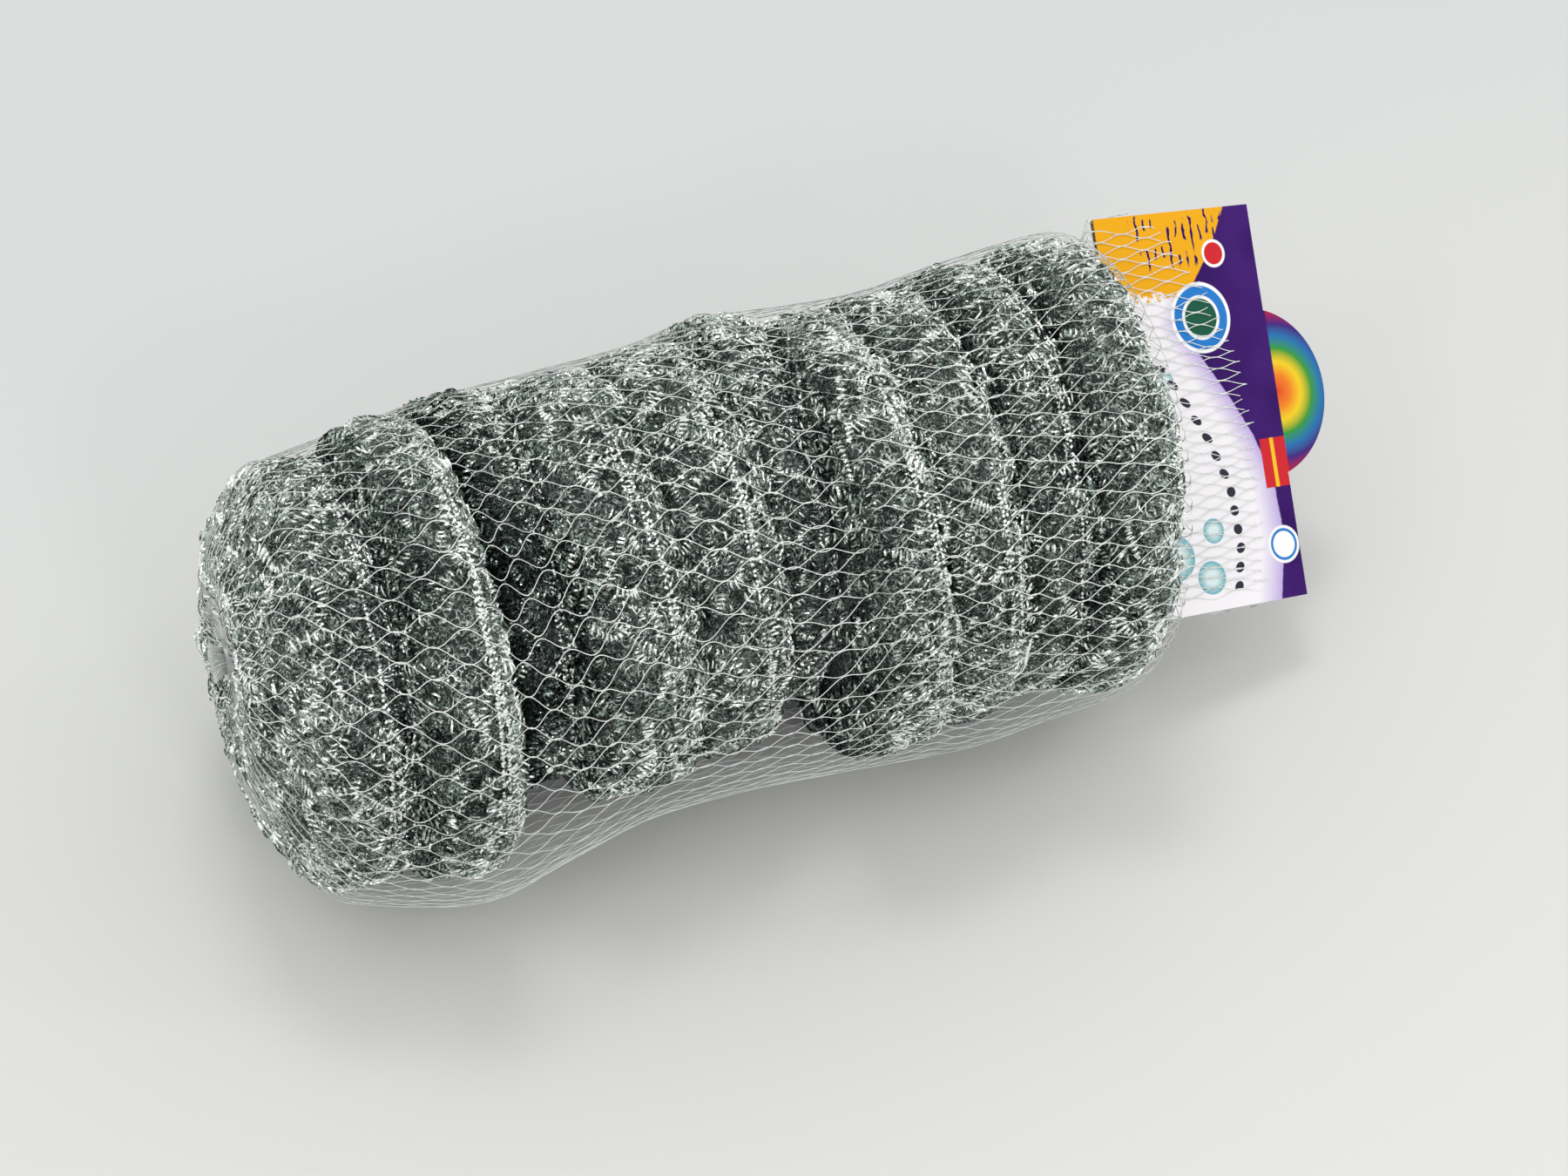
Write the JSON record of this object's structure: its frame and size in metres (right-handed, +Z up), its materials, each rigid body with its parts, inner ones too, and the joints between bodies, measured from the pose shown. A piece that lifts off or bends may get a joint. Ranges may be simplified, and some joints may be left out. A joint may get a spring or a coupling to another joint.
{
  "type": "pot scrubber pack",
  "caption": "Round scourers of curled steel ribbon stand on edge in a row inside a gathered net bag with a folded header card.",
  "frame": {"origin": "under the middle of the whole pack, on the surface that it rests on", "axes": "+X along the row of scourers towards the header card, +Z up"},
  "size_m": [0.277, 0.123, 0.1097],
  "materials": {
    "steel_ribbon": "bright curled ribbon",
    "net_plastic": "soft translucent net",
    "clip_metal": "satin",
    "printed_card": "glossy print outside, brown inside"
  },
  "bodies": {
    "pack": {"scourer_01": "steel_ribbon", "scourer_02": "steel_ribbon", "scourer_03": "steel_ribbon", "scourer_04": "steel_ribbon", "scourer_05": "steel_ribbon", "scourer_06": "steel_ribbon", "scourer_07": "steel_ribbon", "scourer_08": "steel_ribbon", "scourer_09": "steel_ribbon", "scourer_10": "steel_ribbon", "net_bag": "net_plastic", "gather_clip": "clip_metal"},
    "header": {"header_card": "printed_card", "net_mouth": "net_plastic"}
  },
  "joints": [
    {"name": "header_swing", "type": "hinge", "parent": "pack", "child": "header", "pos_m": [0.07968, -0.00247, 0.06235], "axis": [-0.1164, -0.7537, -0.6469], "range_deg": [-25, 30]}
  ]
}
